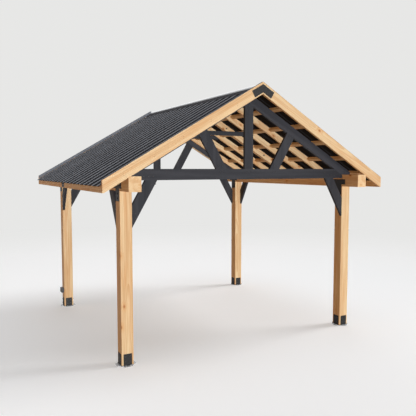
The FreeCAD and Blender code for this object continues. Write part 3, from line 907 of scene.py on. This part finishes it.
fasten("strap_bolts", bolt, strap_spots(), worn_steel)
fasten("anchor_bolts", bolt, anchor_spots, spangled_zinc("anchor_zinc"))
fasten("middle_rafter_bolts", bolt, middle_rafter_spots(), worn_steel)
fasten("cheek_bolts", small_bolt, cheek_spots, worn_steel)
fasten("splice_screws", screw, splice_spots(), worn_steel)
fasten("apex_plate_screws", screw, apex_spots(), worn_steel)
fasten("truss_screws", screw, truss_spots(), worn_steel)
fasten("rake_screws", trim_screw, rake_spots(), tan_coat("tan_screw_coat"))
fasten("roof_screws", roof_screw, sheet_spots, roof_head)
fasten("trim_screws", roof_screw, trim_spots, roof_head)
fasten("ridge_roll_stops", roll_stop, roll_ends, cap_metal)
select_only([bolt, small_bolt, screw, trim_screw, roof_screw, roll_stop])
bpy.ops.object.delete()
make_outlet_cover()


# Floor, light and camera.
FLOOR_SIZE = 400.0
FLOOR_DROP = 0.0005
NEAR_FLOOR = 3.0
FAR_FLOOR = 13.0
PALE = (0.80, 0.80, 0.79)
FLOOR_PAINT = (0.86, 0.86, 0.87)
FLOOR_BASE = 0.36
FLOOR_BOUNCE = (0.56, 0.43, 0.32)
AMBIENT = (1.0, 0.90, 0.80)
AMBIENT_STRENGTH = 0.12


def camera_like(tree):
    """1 for what the camera sees, also in metal or through glass."""
    path = tree.nodes.new("ShaderNodeLightPath")
    choice = path.outputs["Is Camera Ray"]
    for ray in ("Is Glossy Ray", "Is Transmission Ray"):
        larger = tree.nodes.new("ShaderNodeMath")
        larger.operation = "MAXIMUM"
        tree.links.new(choice, larger.inputs[0])
        tree.links.new(path.outputs[ray], larger.inputs[1])
        choice = larger.outputs[0]
    return choice


def make_floor():
    """Pale floor that keeps the shadow near the gazebo and fades into the backdrop further out."""
    deselect()
    bpy.ops.mesh.primitive_plane_add(size=FLOOR_SIZE, location=(0, 0, -FLOOR_DROP))
    floor = bpy.context.object
    floor.name = "floor"
    finish = Finish("floor_paint")
    finish.set(Base_Color=(*FLOOR_BOUNCE, 1), Roughness=0.9, Specular_IOR_Level=0.0)
    reach = finish.vectors("LENGTH", finish.place, (0, 0, 0), "Value")
    far = reach.ease(NEAR_FLOOR, FAR_FLOOR)
    lit = finish.add("BsdfDiffuse", None, {"Color": (*FLOOR_PAINT, 1)})
    base = finish.add("Emission", None, {"Color": (*PALE, 1), "Strength": FLOOR_BASE})
    near = finish.add("AddShader", None, {0: lit, 1: base})
    glow = finish.add("Emission", None, {"Color": (*PALE, 1), "Strength": 1.0})
    pale = finish.add("MixShader", None, {0: far, 1: near, 2: glow})
    seen = Wire(finish, camera_like(finish.tree))
    bounce = Wire(finish, finish.shader.outputs[0])
    mixed = finish.add("MixShader", None, {0: seen, 1: bounce, 2: pale})
    finish.feed(finish.tree.nodes["Material Output"].inputs["Surface"], mixed)
    floor.data.materials.append(finish.material)


def make_world():
    """Soft even light on the gazebo, and a pale backdrop for what the camera and the metal see."""
    world = bpy.data.worlds.new("studio")
    bpy.context.scene.world = world
    world.use_nodes = True
    tree = world.node_tree
    ambient = tree.nodes["Background"]
    ambient.inputs["Color"].default_value = (*AMBIENT, 1)
    ambient.inputs["Strength"].default_value = AMBIENT_STRENGTH
    backdrop = tree.nodes.new("ShaderNodeBackground")
    backdrop.inputs["Color"].default_value = (*PALE, 1)
    backdrop.inputs["Strength"].default_value = 1.0
    mixed = tree.nodes.new("ShaderNodeMixShader")
    tree.links.new(camera_like(tree), mixed.inputs[0])
    tree.links.new(ambient.outputs[0], mixed.inputs[1])
    tree.links.new(backdrop.outputs[0], mixed.inputs[2])
    tree.links.new(mixed.outputs[0], tree.nodes["World Output"].inputs["Surface"])


def aim(thing, direction):
    """Point a lamp or camera, with its upper side up."""
    thing.rotation_mode = "QUATERNION"
    thing.rotation_quaternion = direction.to_track_quat("-Z", "Y")


def heading(azimuth, elevation):
    """Unit vector towards an azimuth, right of the front, and a height over the horizon."""
    level = math.cos(elevation)
    return Vector((
        math.sin(azimuth) * level, -math.cos(azimuth) * level, math.sin(elevation)))


def make_sun(name, azimuth, elevation, angle, strength, colour=(1, 1, 1), shadow=True):
    """A broad soft lamp, from an azimuth right of the front and a height over the horizon."""
    lamp = bpy.data.lights.new(name, "SUN")
    lamp.angle = math.radians(angle)
    lamp.energy = strength
    lamp.color = colour
    lamp.use_shadow = shadow
    sun = bpy.data.objects.new(name, lamp)
    bpy.context.scene.collection.objects.link(sun)
    aim(sun, -heading(math.radians(azimuth), math.radians(elevation)))


PANEL_GAP = 0.05


def make_panel_light(name, azimuth, distance, width, height, strength):
    """An upright lamp on the floor, far off, that gives a strength in W per square metre."""
    towards = heading(math.radians(azimuth), 0)
    lamp = bpy.data.lights.new(name, "AREA")
    lamp.shape = "RECTANGLE"
    lamp.size = width
    lamp.size_y = height
    lamp.energy = strength * math.pi * distance ** 2
    panel = bpy.data.objects.new(name, lamp)
    bpy.context.scene.collection.objects.link(panel)
    panel.location = towards * distance + UPRIGHT * (height / 2 + PANEL_GAP)
    aim(panel, -towards)


CAMERA_PLACE = (-3.6748, -7.3181, 2.3590)
CAMERA_YAW = math.radians(28.132)
CAMERA_PITCH = math.radians(-4.387)
SENSOR_WIDTH = 36.0
FOCAL_PIXELS = 510.61
IMAGE_PIXELS = 416


def make_camera():
    """The camera that was fitted to the photograph."""
    lens = bpy.data.cameras.new("photo_camera")
    lens.sensor_width = SENSOR_WIDTH
    lens.lens = FOCAL_PIXELS / IMAGE_PIXELS * SENSOR_WIDTH
    lens.clip_end = 300
    camera = bpy.data.objects.new("photo_camera", lens)
    bpy.context.scene.collection.objects.link(camera)
    camera.location = CAMERA_PLACE
    level = math.cos(CAMERA_PITCH)
    ahead = Vector((
        math.sin(CAMERA_YAW) * level, math.cos(CAMERA_YAW) * level, math.sin(CAMERA_PITCH)))
    aim(camera, ahead)
    bpy.context.scene.camera = camera


make_floor()
make_world()
make_panel_light("front_light", 18, distance=34, width=12, height=5, strength=0.34)
make_sun("front_fill", 4, 3, angle=20, strength=2.35, shadow=False)
make_sun("top_light", 84, 36, angle=25, strength=1.5)
make_sun("side_light", -84, 4, angle=60, strength=0.61, colour=(1.0, 0.50, 0.22), shadow=False)
make_sun("back_light", 160, 25, angle=60, strength=0.7)
make_sun("sky_light", 0, 89, angle=50, strength=0.5, colour=(0.72, 0.87, 1.0))
make_camera()
bpy.context.scene.view_settings.view_transform = "Standard"
